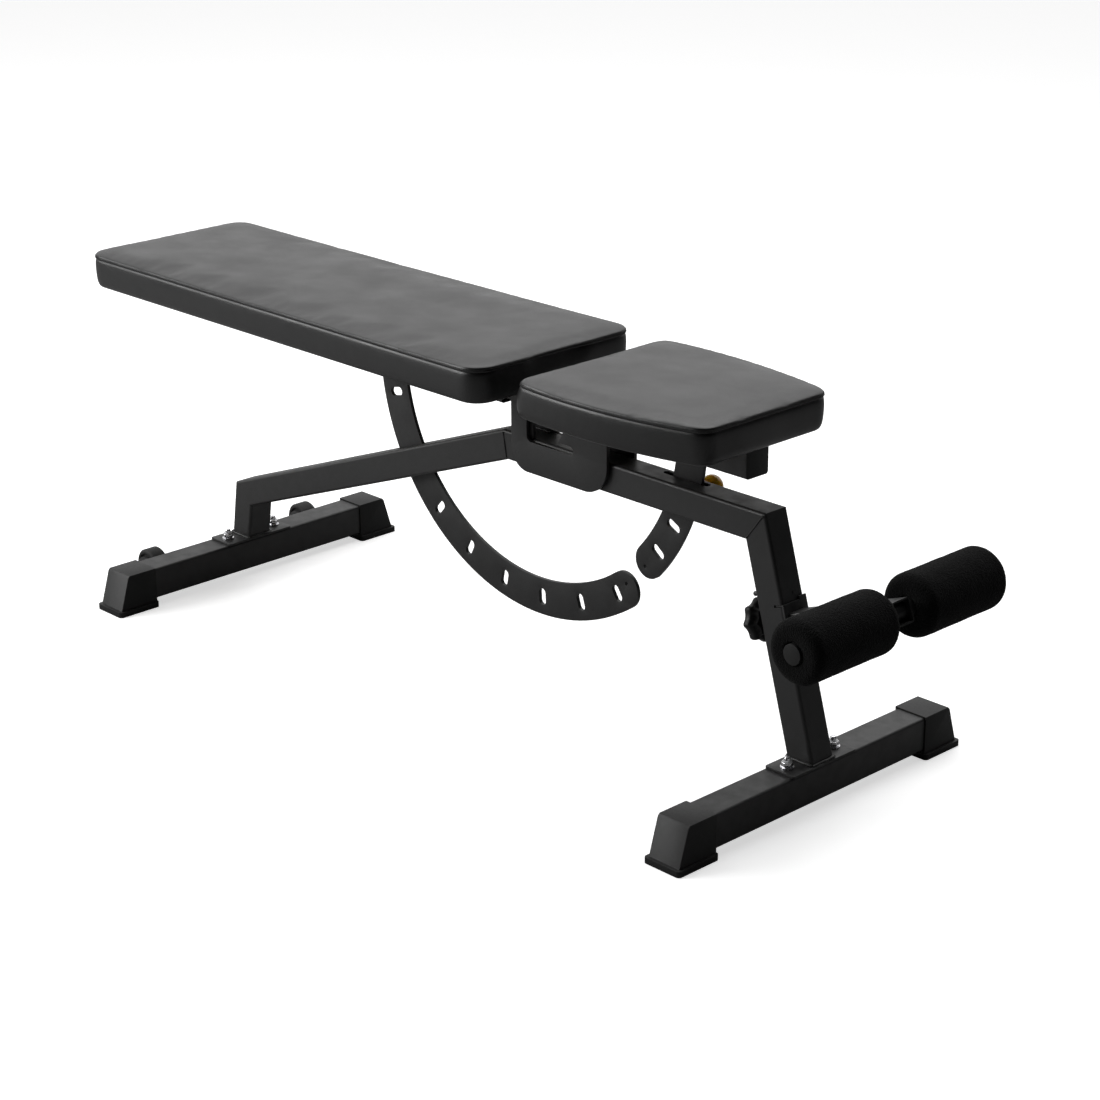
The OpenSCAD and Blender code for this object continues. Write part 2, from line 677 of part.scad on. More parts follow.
// A plate with a lip that hooks into the post's saw cut; the stub tube is welded to its front
module roller_bracket() color(steel) placed() difference() {
    union() {
        at_post(hook_s) translate([0, -tube / 2 - 1, -46]) cube([hook_t, tube + 2, 46 + hook_t - 0.2]);
        at_post(hook_s) translate([-11, -tube / 2 + 1, 0.2]) cube([12, tube - 2, hook_t - 0.4]);
        at_post(hook_s) translate([0, ear_y[0], 0]) cube([hook_t, ear_y[1] - ear_y[0], ear_h]);
    }
    at_post(clamp_s) rotate([0, 90, 0]) translate([0, 0, -10]) cylinder(d = clamp_d + 1, h = 30);
}
module locating_pin() color(steel) placed() at_post(locator_s) rotate([0, 90, 0]) {
    translate([0, 0, locator_d_range[0] + 2])
        cylinder(d = locator_d, h = locator_d_range[1] - locator_d_range[0] - 2);
    translate([0, 0, locator_d_range[0] + locator_d / 2]) sphere(d = locator_d);
}
stub_from = on_post(stub_s, hook_t);
stub_len = norm(roller_axis - stub_from);
module roller_stub() color(steel) placed() difference() {
    translate([stub_from[0], 0, stub_from[1]])
        rotate([0, -heading(stub_from, roller_axis), 0]) difference() {
            translate([-10, 0, 0]) tube_x(stub_len + 28, stub, 3);
            rotate([0, heading(stub_from, roller_axis) - front_lean, 0])
                translate([-40, -tube, -tube]) cube([40, 2 * tube, 2 * tube]);
        }
    rod(roller_axis, roller_tube_d + fit, -stub, stub);
}
roller_half = roller_gap / 2 + roller_len;
module roller_tube() color(steel) placed() difference() {
    rod(roller_axis, roller_tube_d, -roller_half, roller_half);
    rod(roller_axis, roller_tube_d - 2 * wall, -roller_half - 1, roller_half + 1);
}
module roller_tube_plugs() color(black) placed() both_sides() {
    rod(roller_axis, roller_tube_d, roller_half, roller_half + 2);
    rod(roller_axis, roller_tube_d - 2 * wall - 0.2, roller_half - 12, roller_half);
}
module roller(s) color(foam) placed() translate([roller_axis[0], 0, roller_axis[1]]) scale_y(s)
    rotate([-90, 0, 0]) rotate_extrude($fn = 96) {
        bore = (roller_tube_d + fit) / 2;
        r = roller_d / 2;
        q = roller_edge;
        y0 = roller_gap / 2;
        y1 = roller_half;
        translate([bore, y0]) square([r - q - bore, roller_len]);
        translate([bore, y0 + q]) square([r - bore, roller_len - 2 * q]);
        for (y = [y0 + q, y1 - q]) translate([r - q, y]) circle(q, $fn = 32);
    }
module roller_left() roller(1);
module roller_right() roller(-1);

// ---- roller bracket clamp ----

module at_clamp() placed() at_post(clamp_s, -tube) rotate([0, -90, 0]) children();
module clamp_knob() color(black) at_clamp() difference() {
    r = star_knob_d / 2;
    union() {
        translate([0, 0, 0.4]) cylinder(d = 20, h = 7);
        translate([0, 0, 5]) linear_extrude(16) {
            circle(r - lobe_r);
            for (k = [0:star_lobes - 1]) rotate(360 * k / star_lobes)
                translate([r - lobe_r, 0]) circle(lobe_r);
        }
    }
    translate([0, 0, -1]) cylinder(d = clamp_d, h = 15);
}
module clamp_stud() color(zinc) at_clamp() translate([0, 0, -tube - stud_reach])
    cylinder(d = clamp_d, h = tube + stud_reach + stud_in_knob);
module clamp_nut() color(zinc) at_clamp() translate([0, 0, -tube - hook_t - 6.5]) hex_nut(clamp_d, 13, 6.5);

front_foot_tube();
rear_foot_tube();
front_cap_left();
front_cap_right();
rear_cap_left();
rear_cap_right();
front_post();
front_beam();
rear_beam();
rear_post();
base_plates();
foot_bolts();
foot_washers();
foot_nuts();
pivot_uprights();
pivot_bolt();
pivot_nut();
pivot_washers();
wheel_forks();
wheel_bolts();
wheel_nuts();
wheel_left();
wheel_right();
back_pin_barrel();
back_pin();
back_pin_knob();
back_pin_spring();
seat_pin_barrel();
seat_pin();
seat_pin_knob();
seat_pin_spring();
back_tube();
back_tube_plug();
back_hinge_sleeve();
back_hinge_bushes();
back_straps();
back_arc();
back_board();
back_cushion();
back_screws();
seat_tube();
seat_tube_plug();
seat_hinge_left();
seat_hinge_right();
seat_hinge_spacers();
seat_straps();
seat_arc();
seat_board();
seat_cushion();
seat_screws();
roller_bracket();
locating_pin();
roller_stub();
roller_tube();
roller_tube_plugs();
roller_left();
roller_right();
clamp_knob();
clamp_stud();
clamp_nut();
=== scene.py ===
"""The looks of an adjustable decline sit-up bench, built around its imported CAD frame."""

import json
from math import atan2, cos, exp, pi, radians, sin, sqrt, tau

import bmesh
import bpy
from mathutils import Matrix, Vector, geometry, noise

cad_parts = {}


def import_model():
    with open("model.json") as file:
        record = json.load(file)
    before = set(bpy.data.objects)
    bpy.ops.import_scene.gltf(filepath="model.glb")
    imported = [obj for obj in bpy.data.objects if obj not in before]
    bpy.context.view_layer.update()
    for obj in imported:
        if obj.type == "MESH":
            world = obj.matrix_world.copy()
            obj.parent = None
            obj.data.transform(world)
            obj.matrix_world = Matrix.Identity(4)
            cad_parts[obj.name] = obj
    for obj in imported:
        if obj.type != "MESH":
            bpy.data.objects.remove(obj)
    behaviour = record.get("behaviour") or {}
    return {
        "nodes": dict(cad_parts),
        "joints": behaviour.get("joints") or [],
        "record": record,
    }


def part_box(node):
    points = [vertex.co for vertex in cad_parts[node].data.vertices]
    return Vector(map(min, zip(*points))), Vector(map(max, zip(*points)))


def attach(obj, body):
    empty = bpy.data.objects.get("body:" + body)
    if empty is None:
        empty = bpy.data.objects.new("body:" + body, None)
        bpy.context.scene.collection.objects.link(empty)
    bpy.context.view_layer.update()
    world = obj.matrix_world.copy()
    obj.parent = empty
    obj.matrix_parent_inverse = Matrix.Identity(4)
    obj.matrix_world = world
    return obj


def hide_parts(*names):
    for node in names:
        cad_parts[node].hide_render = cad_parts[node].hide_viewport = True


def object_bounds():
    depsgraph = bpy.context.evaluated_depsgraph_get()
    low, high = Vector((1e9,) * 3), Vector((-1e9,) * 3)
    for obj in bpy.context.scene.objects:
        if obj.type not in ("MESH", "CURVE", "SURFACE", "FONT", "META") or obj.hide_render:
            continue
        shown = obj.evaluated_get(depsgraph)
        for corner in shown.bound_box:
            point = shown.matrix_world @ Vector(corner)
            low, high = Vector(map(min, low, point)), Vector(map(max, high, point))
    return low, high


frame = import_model()
cad_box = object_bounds()
MM = 0.001
UP = Vector((0, 0, 1))


# ---------------------------------------------------------------- places taken from the frame

def corners(node):
    low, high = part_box(node)
    return Vector(low), Vector(high)


joints = {joint["name"]: joint for joint in frame["joints"]}
PIVOT = Vector(joints["backrest_tilt"]["pos_m"])
ROLLER = Vector(joints["left_roller_spin"]["pos_m"])
FLOOR_Z = cad_box[0][2]
CUSHION_BASE = corners("back_board")[0].z
TUBE = 0.04                     # the square tubes' width
FRONT_LEAN = radians(16)        # the front post, from upright
REAR_SLOPE = radians(20.3)      # the rear beam, from level
REAR_LEAN = radians(9)          # the rear post, from upright


# ---------------------------------------------------------------- materials

class Nodes:
    """A small helper that adds shader nodes to one material and links them."""

    def __init__(self, name):
        self.material = bpy.data.materials.new(name)
        self.material.use_nodes = True
        self.tree = self.material.node_tree
        self.shader = self.tree.nodes["Principled BSDF"]
        self.place = self.add("ShaderNodeTexCoord").outputs["Object"]
        self.height = None

    def add(self, kind, **inputs):
        node = self.tree.nodes.new(kind)
        for key, value in inputs.items():
            self.put(node.inputs[key.replace("_", " ")], value)
        return node

    def put(self, socket, value):
        if isinstance(value, bpy.types.NodeSocket):
            self.tree.links.new(value, socket)
        else:
            socket.default_value = value

    def set(self, **values):
        for key, value in values.items():
            self.put(self.shader.inputs[key.replace("_", " ")], value)

    def noise(self, scale, detail=2.0, stretch=(1, 1, 1), rough=0.5):
        place = self.add("ShaderNodeMapping", Vector=self.place, Scale=stretch)
        return self.add("ShaderNodeTexNoise", Vector=place.outputs[0], Scale=scale, Detail=detail,
                        Roughness=rough).outputs["Fac"]

    def cells(self, scale, feature="DISTANCE_TO_EDGE", place=None):
        node = self.add("ShaderNodeTexVoronoi", Vector=place or self.place, Scale=scale)
        node.feature = feature
        return node.outputs["Distance"]

    def span(self, value, low, high, start=0.0, end=1.0):
        node = self.add("ShaderNodeMapRange", Value=value)
        node.inputs["From Min"].default_value = start
        node.inputs["From Max"].default_value = end
        node.inputs["To Min"].default_value = low
        node.inputs["To Max"].default_value = high
        return node.outputs["Result"]

    def mix(self, factor, first, second):
        node = self.tree.nodes.new("ShaderNodeMix")
        node.data_type = "RGBA"
        self.put(node.inputs["Factor"], factor)
        self.put(node.inputs["A"], first)
        self.put(node.inputs["B"], second)
        return node.outputs["Result"]

    def bump(self, value, strength, distance):
        """Adds one more layer of relief over those that are there already."""
        node = self.add("ShaderNodeBump", Height=value, Strength=strength, Distance=distance)
        if self.height:
            self.tree.links.new(self.height, node.inputs["Normal"])
        self.height = node.outputs["Normal"]
        self.tree.links.new(self.height, self.shader.inputs["Normal"])


def grey(level, tint=1.0):
    return (level, level, level * tint, 1)


def powder_coat():
    m = Nodes("powder_coat")
    patches = m.span(m.noise(9, 3), 0, 1, 0.35, 0.65)
    specks = m.span(m.noise(2600, 2), 0, 1, 0.42, 0.68)
    m.set(Base_Color=m.mix(specks, m.mix(patches, grey(0.012), grey(0.017, 1.03)), grey(0.026)))
    m.set(Roughness=m.span(m.noise(60, 4), 0.40, 0.54, 0.3, 0.7), Specular_IOR_Level=0.5)
    m.bump(m.noise(900, 2), 0.16, 0.0003)
    m.bump(m.noise(3400, 2), 0.10, 0.0001)
    return m.material


def weld_metal():
    m = Nodes("weld_coat")
    m.set(Base_Color=m.mix(m.noise(700, 3), grey(0.010), grey(0.022)))
    m.set(Roughness=m.span(m.noise(300, 3), 0.34, 0.52))
    m.bump(m.noise(1500, 3), 0.35, 0.0003)
    return m.material


def vinyl():
    m = Nodes("black_vinyl")
    warp = m.tree.nodes.new("ShaderNodeVectorMath")
    warp.operation = "SCALE"
    warp.inputs["Scale"].default_value = 0.0012
    wander = m.add("ShaderNodeTexNoise", Vector=m.place, Scale=260.0, Detail=2.0)
    m.put(warp.inputs[0], wander.outputs["Color"])
    shifted = m.add("ShaderNodeVectorMath")
    m.put(shifted.inputs[0], m.place)
    m.put(shifted.inputs[1], warp.outputs[0])
    # the pebble grain: the height of its relief, and the mask of painted shade in the grooves between
    # pebbles
    pebbles_and_groove_shade = m.span(m.cells(620, place=shifted.outputs[0]), 0, 1, 0.0, 0.22)
    # base colour darker in the grooves between pebbles: painted shade in the hollows that the bump sinks
    m.set(Base_Color=m.mix(pebbles_and_groove_shade, grey(0.004), m.mix(m.noise(7, 3), grey(0.007), grey(0.011, 1.04))))
    m.set(Roughness=m.span(m.noise(14, 5), 0.29, 0.41, 0.3, 0.7), Specular_IOR_Level=0.55)
    m.bump(m.noise(5.5, 2, (1, 1.6, 1)), 0.55, 0.006)
    m.bump(m.noise(26, 3, (1, 1.3, 1)), 0.20, 0.0016)
    m.bump(pebbles_and_groove_shade, 0.28, 0.00022)
    m.bump(m.noise(4200, 2), 0.10, 0.00008)
    return m.material


def foam():
    m = Nodes("open_cell_foam")
    # the pores: the height of their relief, and the mask of painted shade inside them
    pores_and_pore_shade = m.span(m.cells(560, "F1"), 0, 1, 0.05, 0.75)
    # base colour darker at the pore centres: painted shade in the hollows that the bump sinks
    m.set(Base_Color=m.mix(pores_and_pore_shade, grey(0.0012), m.mix(m.noise(900, 3), grey(0.0022), grey(0.0060))))
    m.set(Roughness=0.97, Specular_IOR_Level=0.10, Sheen_Weight=0.035, Sheen_Roughness=0.5)
    m.bump(m.noise(300, 4), 0.7, 0.0012)
    m.bump(pores_and_pore_shade, 0.9, 0.0009)
    return m.material


def moulded_plastic():
    m = Nodes("moulded_plastic")
    m.set(Base_Color=m.mix(m.noise(30, 4), grey(0.007), grey(0.012)))
    m.set(Roughness=m.span(m.noise(240, 3), 0.42, 0.56), Specular_IOR_Level=0.34)
    m.bump(m.noise(2300, 2), 0.22, 0.00018)
    m.bump(m.noise(18, 2), 0.10, 0.002)
    return m.material


def tyre_rubber():
    m = Nodes("tyre_rubber")
    m.set(Base_Color=m.mix(m.noise(90, 4), grey(0.012), grey(0.024)))
    m.set(Roughness=m.span(m.noise(500, 3), 0.62, 0.8), Specular_IOR_Level=0.4)
    m.bump(m.noise(1500, 3), 0.3, 0.0003)
    return m.material


def bright_zinc():
    m = Nodes("bright_zinc")
    m.set(Base_Color=m.mix(m.noise(160, 4), grey(0.82, 1.02), grey(0.94, 1.03)), Metallic=1.0)
    m.set(Roughness=m.span(m.noise(700, 3), 0.16, 0.34))
    m.bump(m.noise(1800, 2), 0.12, 0.0001)
    return m.material


def amber_plastic():
    m = Nodes("amber_plastic")
    m.set(Base_Color=m.mix(m.noise(45, 3), (0.82, 0.40, 0.004, 1), (0.95, 0.52, 0.010, 1)))
    m.set(Roughness=m.span(m.noise(400, 2), 0.16, 0.26), Coat_Weight=0.6, Coat_Roughness=0.08)
    m.set(Subsurface_Weight=0.15, Subsurface_Scale=0.004)
    m.bump(m.noise(60, 2), 0.06, 0.001)
    return m.material


def thread():
    m = Nodes("sewing_thread")
    m.set(Base_Color=m.mix(m.noise(4000, 2), grey(0.006), grey(0.022)), Roughness=0.8,
          Sheen_Weight=0.1)
    m.bump(m.noise(5200, 2, (1, 1, 3)), 0.4, 0.0001)
    return m.material


def plywood():
    m = Nodes("plywood")
    grain = m.noise(36, 6, (0.12, 1, 1), 0.65)
    fine = m.noise(260, 3, (0.05, 1, 1))
    wood = m.mix(m.span(grain, 0, 1, 0.32, 0.68), (0.30, 0.19, 0.095, 1), (0.50, 0.35, 0.19, 1))
    m.set(Base_Color=m.mix(m.span(fine, 0, 0.5, 0.4, 0.7), wood, (0.22, 0.13, 0.06, 1)))
    m.set(Roughness=m.span(grain, 0.62, 0.8))
    m.bump(fine, 0.25, 0.0004)
    return m.material


def nylon():
    m = Nodes("nylon_insert")
    m.set(Base_Color=m.mix(m.noise(300, 2), (0.55, 0.56, 0.58, 1), (0.70, 0.71, 0.72, 1)), Roughness=0.45)
    m.bump(m.noise(1200, 2), 0.1, 0.0001)
    return m.material


COAT = powder_coat()
WELD = weld_metal()
VINYL = vinyl()
FOAM = foam()
PLASTIC = moulded_plastic()
RUBBER = tyre_rubber()
ZINC = bright_zinc()
AMBER = amber_plastic()
THREAD = thread()
PLYWOOD = plywood()
NYLON = nylon()
FINISH = {"frame_coat": COAT, "zinc": ZINC, "black_plastic": PLASTIC, "wheel_rubber": RUBBER,
          "yellow_plastic": AMBER, "vinyl": VINYL, "plywood": PLYWOOD, "foam": FOAM}
SLOT = {row["node"]: row["material_slot"] for row in frame["record"]["subparts"]}
BODY = {node: body for body, nodes in frame["record"]["behaviour"]["bodies"].items() for node in nodes}


# ---------------------------------------------------------------- making pieces

def new_piece(name, mesh, body, material, smooth=radians(40)):
    piece = bpy.data.objects.new(name, mesh)
    bpy.context.scene.collection.objects.link(piece)
    mesh.materials.clear()
    mesh.materials.append(material)
    shade(mesh, smooth)
    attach(piece, body)
    return piece


def shade(mesh, angle):
    """Smooth shading, with every edge sharper than the angle left crisp."""
    bm = bmesh.new()
    bm.from_mesh(mesh)
    for face in bm.faces:
        face.smooth = True
    for edge in bm.edges:
        edge.smooth = not (edge.is_manifold and edge.calc_face_angle(0) > angle)
    bm.to_mesh(mesh)
    bm.free()


def mesh_of(bm, name):
    mesh = bpy.data.meshes.new(name)
    bmesh.ops.recalc_face_normals(bm, faces=bm.faces)
    bm.to_mesh(mesh)
    bm.free()
    return mesh


def rounded_copy(node, width, crease=radians(32)):
    """Shows a CAD node with its sharp edges rounded, as pressed, sawn or moulded edges are."""
    source = frame["nodes"][node].data
    bm = bmesh.new()
    bm.from_mesh(source)
    bmesh.ops.remove_doubles(bm, verts=bm.verts, dist=2e-6)
    bmesh.ops.dissolve_limit(bm, angle_limit=radians(0.4), verts=bm.verts, edges=bm.edges)
    sharp = [e for e in bm.edges if e.is_manifold and e.calc_face_angle(0) > crease]
    bmesh.ops.bevel(bm, geom=sharp, offset=width, offset_type="OFFSET", segments=2, profile=0.6,
                    affect="EDGES", clamp_overlap=True)
    bmesh.ops.triangulate(bm, faces=[f for f in bm.faces if len(f.verts) > 4])
    mesh = mesh_of(bm, node + "_shown")
    piece = new_piece(node + "_shown", mesh, BODY[node], FINISH[SLOT[node]])
    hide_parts(node)


def loft(rings, name, close_ends=True):
    """A closed skin over rings of points, each ring with the same count."""
    bm = bmesh.new()
    rows = [[bm.verts.new(point) for point in ring] for ring in rings]
    count = len(rows[0])
    for below, above in zip(rows, rows[1:]):
        for i in range(count):
            j = (i + 1) % count
            bm.faces.new((below[i], below[j], above[j], above[i]))
    if close_ends:
        bm.faces.new(rows[0])
        bm.faces.new(rows[-1])
    return mesh_of(bm, name)


def turned(name, levels, radius, count, place):
    """A solid built from level rings: levels are (height, inset), radius(angle) is its outline."""
    rings = []
    for height, inset in levels:
        rings.append([place @ Vector(((radius(a) - inset) * cos(a), (radius(a) - inset) * sin(a), height))
                      for a in (tau * k / count for k in range(count))])
    return loft(rings, name)


def joined(meshes, name):
    bm = bmesh.new()
    for mesh in meshes:
        bm.from_mesh(mesh)
        bpy.data.meshes.remove(mesh)
    return mesh_of(bm, name)


def along(origin, direction):
    """A placing matrix whose Z points along a direction."""
    turn = UP.rotation_difference(Vector(direction).normalized()).to_matrix().to_4x4()
    return Matrix.Translation(origin) @ turn


def bead(points, radius, name, closed=True):
    """A weld bead along a path, with the ripples that a hand-fed rod leaves."""
    rings = []
    sides = 8
    count = len(points)
    for i, point in enumerate(points):
        before = points[i - 1] if closed or i else points[i]
        after = points[(i + 1) % count] if closed or i < count - 1 else points[i]
        ahead = (after - before).normalized()
        side = ahead.orthogonal().normalized()
        other = ahead.cross(side)
        swell = radius * (1 + 0.16 * sin(i * tau / 3.0) + 0.35 * noise.noise(point * 120))
        spot = point + noise.noise_vector(point * 90) * radius * 0.35
        rings.append([spot + swell * (side * cos(tau * k / sides) + other * sin(tau * k / sides))
                      for k in range(sides)])
    if closed:
        rings.append(rings[0])
    mesh = loft(rings, name, close_ends=not closed)
    bm = bmesh.new()
    bm.from_mesh(mesh)
    bmesh.ops.remove_doubles(bm, verts=bm.verts, dist=1e-6)
    bm.to_mesh(mesh)
    bm.free()
    return mesh


def resampled(points, step, closed=True):
    """The same path with evenly spaced points."""
    path = list(points) + ([points[0]] if closed else [])
    lengths = [0.0]
    for a, b in zip(path, path[1:]):
        lengths.append(lengths[-1] + (b - a).length)
    count = max(4, round(lengths[-1] / step))
    wanted = [lengths[-1] * k / count for k in range(count if closed else count + 1)]
    result, i = [], 0
    for distance in wanted:
        while i < len(lengths) - 2 and lengths[i + 1] < distance:
            i += 1
        share = (distance - lengths[i]) / max(lengths[i + 1] - lengths[i], 1e-12)
        result.append(path[i].lerp(path[i + 1], min(share, 1.0)))
    return result


def rectangle(centre, u, v, half_u, half_v, corner):
    """A rectangle with round corners, in the plane of u and v."""
    points = []
    for quarter, (su, sv) in enumerate(((1, 1), (-1, 1), (-1, -1), (1, -1))):
        for k in range(5):
            a = (quarter + k / 4) * pi / 2
            points.append(centre + u * (su * (half_u - corner) + corner * cos(a))
                          + v * (sv * (half_v - corner) + corner * sin(a)))
    return points


# ---------------------------------------------------------------- cushions

def pad_outline(node):
    """The plan of a pad as a dense loop of points, read from its CAD node."""
    flat = [Vector((v.co.x, v.co.y)) for v in frame["nodes"][node].data.vertices]
    ring = [flat[i] for i in geometry.convex_hull_2d(flat)]
    return resampled([Vector((p.x, p.y, 0)) for p in ring], 0.001)


class Pad:
    """An upholstered pad: a crowned top panel, a sewn band, an upright side and a turned-under margin."""

    SEAM_DROP = 0.0068          # the lower seam's distance below the crease
    MARGIN = 0.024              # vinyl turned under the board

    def __init__(self, name, body, node, crease_z, crown, belly, across, seed):
        self.name, self.body, self.node = name, body, node
        self.crease_z, self.crown, self.belly, self.seed = crease_z, crown, belly, seed
        self.low, self.high = corners(node)
        self.centre = (self.low + self.high) / 2
        self.across = across
        length = self.high.x - self.low.x
        self.lengthwise = round(across * length / (self.high.y - self.low.y))
        self.edge = self.square_edge(pad_outline(node))

    def square_edge(self, outline):
        """Outline points in step with the border of a grid of lengthwise by across cells."""
        targets = [Vector((self.high.x, self.high.y, 0)), Vector((self.low.x, self.high.y, 0)),
                   Vector((self.low.x, self.low.y, 0)), Vector((self.high.x, self.low.y, 0))]
        starts = [min(range(len(outline)), key=lambda i: (outline[i] - t).length) for t in targets]
        edge = []
        for side in range(4):
            a, b = starts[side], starts[(side + 1) % 4]
            step = 1 if self.turns_forward(starts, len(outline)) else -1
            part = [outline[a]]
            i = a
            while i != b:
                i = (i + step) % len(outline)
                part.append(outline[i])
            cells = self.lengthwise if side % 2 == 0 else self.across
            length = sum((q - p).length for p, q in zip(part, part[1:]))
            edge += resampled(part, length / cells, closed=False)[:cells]
        return edge

    @staticmethod
    def turns_forward(starts, count):
        return (starts[1] - starts[0]) % count < (starts[0] - starts[1]) % count

    def outward(self, i):
        """The direction straight out of the pad at one point of its edge."""
        before, after = self.edge[i - 1], self.edge[(i + 1) % len(self.edge)]
        ahead = (after - before).normalized()
        return Vector((-ahead.y, ahead.x, 0)) * (1 if self.faces_out(i, ahead) else -1)

    def faces_out(self, i, ahead):
        side = Vector((-ahead.y, ahead.x, 0))
        return side.dot(self.edge[i] - self.inner(self.edge[i])) > 0

    def inner(self, point):
        """The point of the pad's middle line that a point of its rim looks away from."""
        half = (self.high.y - self.low.y) / 2
        x = min(max(point.x, self.low.x + half), self.high.x - half)
        return Vector((x if self.low.x + half < self.high.x - half else self.centre.x, 0, 0))

    def side_levels(self):
        """(height, inset) from the crease down to the inner edge of the turned margin."""
        crease, seam = self.crease_z, self.crease_z - self.SEAM_DROP
        base = CUSHION_BASE
        belly = self.belly
        return [(crease, 0.0010), (crease - 0.0009, 0.0004), (crease - 0.0022, -0.0004),
                (crease - 0.0042, -0.0008), (seam + 0.0014, -0.0005), (seam + 0.0005, 0.0002),
                (seam, 0.0008), (seam - 0.0006, 0.0002), (seam - 0.002, -0.0006),
                (seam - 0.008, -0.0013), (seam - 0.016, -0.0012), (base + 0.012, -0.0006),
                (base + 0.0065, 0.0002), (base + 0.0025, 0.0014), (base - 0.0004 - 0.4 * belly, 0.0034),
                (base - 0.0008 - 0.8 * belly, 0.0062), (base - 0.0008 - belly, 0.0100),
                (base - 0.0008 - 0.6 * belly, 0.0150), (base - 0.0008, 0.0205), (base - 0.0008, self.MARGIN),
                (base + 0.0012, self.MARGIN + 0.0006), (base + 0.0030, self.MARGIN + 0.001)]

    def crown_height(self, point):
        """How far the top panel stands above the crease: a short roll at the rim, then nearly flat."""
        rim = min((point - e).length for e in self.edge[::3])
        roll = 1 - exp(-rim / 0.010)
        share_x = (point.x - self.centre.x) / ((self.high.x - self.low.x) / 2)
        share_y = (point.y - self.centre.y) / ((self.high.y - self.low.y) / 2)
        swell = (1 - min(abs(share_x), 1) ** 3) * (1 - min(abs(share_y), 1) ** 2.4)
        wave = noise.noise(Vector((point.x * 9, point.y * 12, self.seed)))
        return self.crown * (0.60 * roll + 0.40 * swell) + 0.0010 * wave * roll

    def build(self):
        bm = bmesh.new()
        columns, rows = self.lengthwise, self.across
        loop = ([(columns - i, rows) for i in range(columns)] + [(0, rows - j) for j in range(rows)]
                + [(i, 0) for i in range(columns)] + [(columns, j) for j in range(rows)])
        border = {cell: k for k, cell in enumerate(loop)}
        rim_inset = self.side_levels()[0][1]
        rim = [self.edge[k] - self.outward(k) * rim_inset for k in range(len(self.edge))]
        grid = {}
        for i in range(columns + 1):
            for j in range(rows + 1):
                if (i, j) in border:
                    point = rim[border[(i, j)]].copy()
                    point.z = self.crease_z
                else:
                    point = self.inside(i, j, rim, border)
                    point.z = self.crease_z + self.crown_height(point)
                grid[(i, j)] = bm.verts.new(point)
        for i in range(columns):
            for j in range(rows):
                bm.faces.new((grid[(i, j)], grid[(i + 1, j)], grid[(i + 1, j + 1)], grid[(i, j + 1)]))
        ring = [grid[cell] for cell in loop]
        for height, inset in self.side_levels()[1:]:
            lower = []
            for k, edge in enumerate(self.edge):
                point = edge - self.outward(k) * inset
                lower.append(bm.verts.new((point.x, point.y, height)))
            for k in range(len(ring)):
                n = (k + 1) % len(ring)
                bm.faces.new((ring[k], ring[n], lower[n], lower[k]))
            ring = lower
        bm.faces.new(ring)
        self.relieve(bm)
        return mesh_of(bm, self.name)

    def inside(self, i, j, rim, border):
        """A transfinite blend of the four borders, so that the grid lines follow the outline."""
        u, v = i / self.lengthwise, j / self.across
        left, right = rim[border[(0, j)]], rim[border[(self.lengthwise, j)]]
        low, high = rim[border[(i, 0)]], rim[border[(i, self.across)]]
        ll, lr = rim[border[(0, 0)]], rim[border[(self.lengthwise, 0)]]
        hl, hr = rim[border[(0, self.across)]], rim[border[(self.lengthwise, self.across)]]
        straight = (1 - u) * left + u * right + (1 - v) * low + v * high
        corner = (1 - u) * (1 - v) * ll + u * (1 - v) * lr + (1 - u) * v * hl + u * v * hr
        return straight - corner

    def surface_out(self, drop):
        """How far outside the plan's outline the cover's surface lies, at a depth below the crease."""
        levels = self.side_levels()
        for (z0, in0), (z1, in1) in zip(levels, levels[1:]):
            if z1 <= self.crease_z - drop <= z0:
                share = (z0 - self.crease_z + drop) / (z0 - z1)
                return -(in0 + (in1 - in0) * share)
        return 0.0

    def relieve(self, bm):
        """Each kind of pad clears its neighbours in its own way."""

    def is_open_below(self, spot):
        """Whether the board has a notch there, so that nothing can be stapled to it."""
        return False


def lean_in(vert, end, shift, start, full, reach=0.06):
    """Moves the upper part of a pad's end along X, more toward the crease and fading out inward."""
    rise = min(max((vert.co.z - start) / (full - start), 0.0), 1.0) ** 1.3
    near = max(0.0, 1 - abs(vert.co.x - end) / reach)
    vert.co.x += shift * rise * near * near * (3 - 2 * near)


class BackPad(Pad):
    NOTCH = (0.027, 0.037)      # depth and half width of the notch over the seat's hinge plates
    BARE = (0.045, 0.045)       # depth and half width of the strip around the notch without staples
    SQUEEZE = 2e-5              # what is left of the height of the vinyl drawn up into the notch
    DENT = (0.0030, 0.055)      # depth and half width of the hollow that clears them when upright

    def relieve(self, bm):
        """Draws the vinyl up into the notch in the board's front end, and hollows the end above it."""
        depth, half = self.NOTCH
        dent, wide = self.DENT
        roof = corners("back_board")[1].z + 0.001
        for vert in bm.verts:
            inside = abs(vert.co.y) < half and vert.co.x > self.high.x - depth - 0.012
            if inside and vert.co.z < roof:
                vert.co.z = roof - self.SQUEEZE * (roof - vert.co.z)
            share = max(0.0, 1 - (abs(vert.co.y) / wide) ** 4)
            lean_in(vert, self.high.x, -dent * share, CUSHION_BASE + 0.020, self.crease_z - 0.010)

    def is_open_below(self, spot):
        depth, half = self.BARE
        return abs(spot.y) < half and spot.x > self.high.x - depth


class SeatPad(Pad):
    LEAN = 0.0090               # how far the rear end leans forward, to clear the upright back rest

    def relieve(self, bm):
        for vert in bm.verts:
            lean_in(vert, self.low.x, self.LEAN, CUSHION_BASE + 0.016, self.crease_z)


